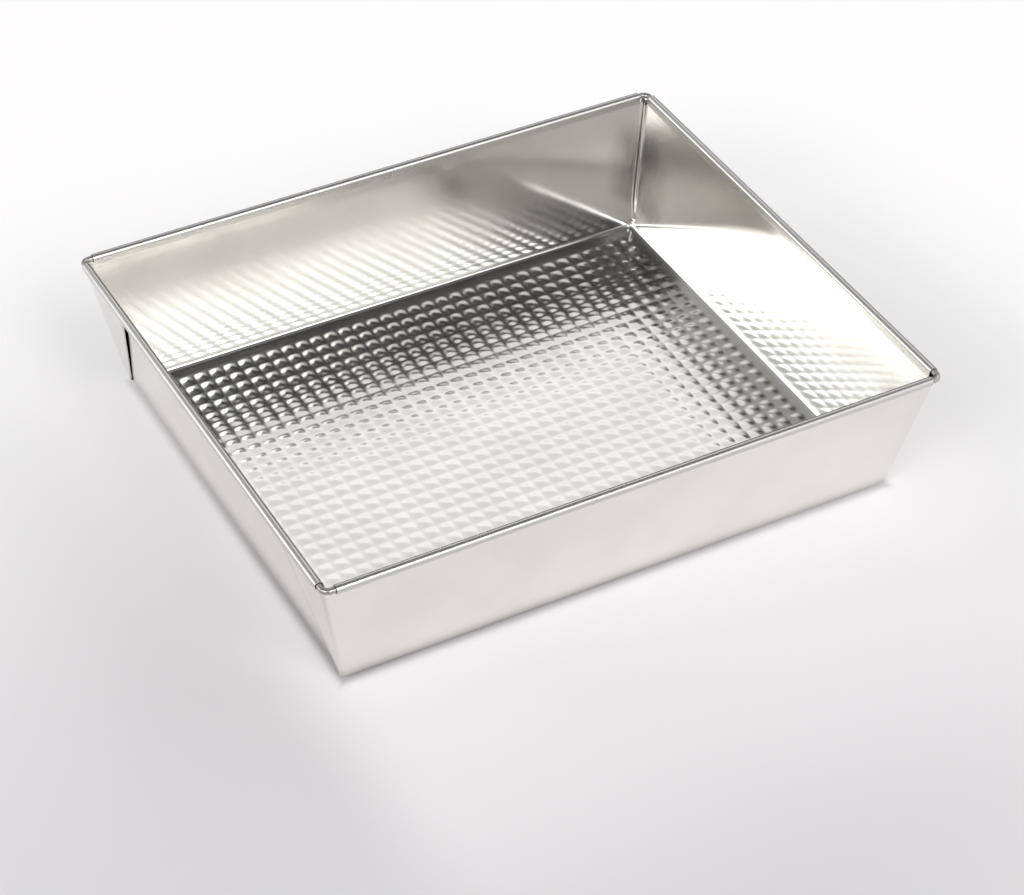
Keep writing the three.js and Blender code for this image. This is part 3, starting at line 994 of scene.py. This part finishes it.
class CAKEPAN_OT_sheet(bpy.types.Operator):
    """Folds the pan from one embossed sheet and rolls its rim"""

    bl_idname = "cakepan.sheet"
    bl_label = "Tinplate pan"

    def execute(self, context):
        scene = context.scene
        form = PanForm(scene.pan_sizes, scene.pan_mesh)
        skin = sheet_skin(form)
        flat = np.array(skin.points)
        points = form.relaxed(flat).tolist()
        places = form.blank_place(flat)
        piece = make_piece("tinplate_pan", points, skin.faces, places, "blank", SHEET_CREASE)
        piece.data.materials.append(tinplate(scene.pan_finish, form))
        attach(piece, "root")
        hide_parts("pan_sheet")
        return {"FINISHED"}


class CAKEPAN_OT_wire(bpy.types.Operator):
    """Bends the rim wire into a rectangle, from butt to butt"""

    bl_idname = "cakepan.wire"
    bl_label = "Rim wire"

    def execute(self, context):
        scene = context.scene
        form = PanForm(scene.pan_sizes, scene.pan_mesh)
        skin, places = wire_skin(form)
        piece = make_piece("hoop_wire", skin.points, skin.faces, places, "length", WIRE_CREASE)
        piece.data.materials.append(drawn_wire(scene.pan_finish))
        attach(piece, "root")
        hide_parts("rim_wire")
        return {"FINISHED"}


class CAKEPAN_OT_stage(bpy.types.Operator):
    """Sets the table, the light tent and the camera"""

    bl_idname = "cakepan.stage"
    bl_label = "Table, light and camera"

    def execute(self, context):
        scene = context.scene
        look = scene.studio_look
        scene.view_settings.view_transform = "Standard"
        self.table(scene, look)
        scene.world = light_tent(look)
        self.camera(scene, look)
        return {"FINISHED"}

    def table(self, scene, look):
        """A round table top just below the pan's underside."""
        mesh = bpy.data.meshes.new("table_top")
        reach = look.table_radius
        turns = np.linspace(0.0, 2 * math.pi, TABLE_SIDES, endpoint=False)
        points = [(reach * math.cos(turn), reach * math.sin(turn), -TABLE_DROP) for turn in turns]
        mesh.from_pydata(points, [], [tuple(range(len(points)))])
        sizes = scene.pan_sizes
        foot = (sizes.rim_length / 2 - sizes.wall_taper, sizes.rim_width / 2 - sizes.wall_taper)
        mesh.materials.append(pale_table(look, foot))
        table = bpy.data.objects.new("table_top", mesh)
        scene.collection.objects.link(table)

    def camera(self, scene, look):
        """The camera at the picture's own angle."""
        turn = look.view_azimuth
        lift = look.view_elevation
        back = Vector((
            math.sin(turn) * math.cos(lift), -math.cos(turn) * math.cos(lift), math.sin(lift)
        ))
        right = (-back).cross(Vector((0.0, 0.0, 1.0))).normalized()
        up = right.cross(-back)
        tilt = look.view_roll
        tilted_right = right * math.cos(tilt) + up * math.sin(tilt)
        tilted_up = up * math.cos(tilt) - right * math.sin(tilt)
        data = bpy.data.cameras.new("picture_camera")
        data.sensor_fit = "HORIZONTAL"
        data.sensor_width = SENSOR_WIDTH
        data.lens = look.view_lens
        data.clip_end = CAMERA_REACH
        camera = bpy.data.objects.new("picture_camera", data)
        place = Matrix((tilted_right, tilted_up, back)).transposed().to_4x4()
        place.translation = Vector(look.view_target) + back * look.view_distance
        camera.matrix_world = place
        scene.collection.objects.link(camera)
        scene.camera = camera


class CAKEPAN_PT_panel(bpy.types.Panel):
    """Lists the pieces of the pan and its stage"""

    bl_idname = "CAKEPAN_PT_panel"
    bl_label = "Cake Pan"
    bl_space_type = "VIEW_3D"
    bl_region_type = "UI"
    bl_category = "Cake Pan"

    def draw(self, context):
        for operator in (CAKEPAN_OT_sheet, CAKEPAN_OT_wire, CAKEPAN_OT_stage):
            self.layout.operator(operator.bl_idname)
        for group in GROUPS:
            box = self.layout.box()
            settings = getattr(context.scene, group)
            for name in settings.__annotations__:
                box.prop(settings, name)


GROUPS = {
    "pan_sizes": PanSizes,
    "pan_finish": PanFinish,
    "pan_mesh": PanMesh,
    "studio_look": StudioLook,
}
CLASSES = (*GROUPS.values(), CAKEPAN_OT_sheet, CAKEPAN_OT_wire, CAKEPAN_OT_stage, CAKEPAN_PT_panel)


def register():
    """Makes the settings, operators and panel known to Blender."""
    for kind in CLASSES:
        bpy.utils.register_class(kind)
    for name, group in GROUPS.items():
        setattr(bpy.types.Scene, name, PointerProperty(type=group))


def unregister():
    """Takes the settings, operators and panel out again."""
    for name in GROUPS:
        delattr(bpy.types.Scene, name)
    for kind in reversed(CLASSES):
        bpy.utils.unregister_class(kind)


def main():
    """Makes the stage and the pieces."""
    register()
    bpy.ops.cakepan.stage()
    bpy.ops.cakepan.sheet()
    bpy.ops.cakepan.wire()


if __name__ == "__main__":
    main()
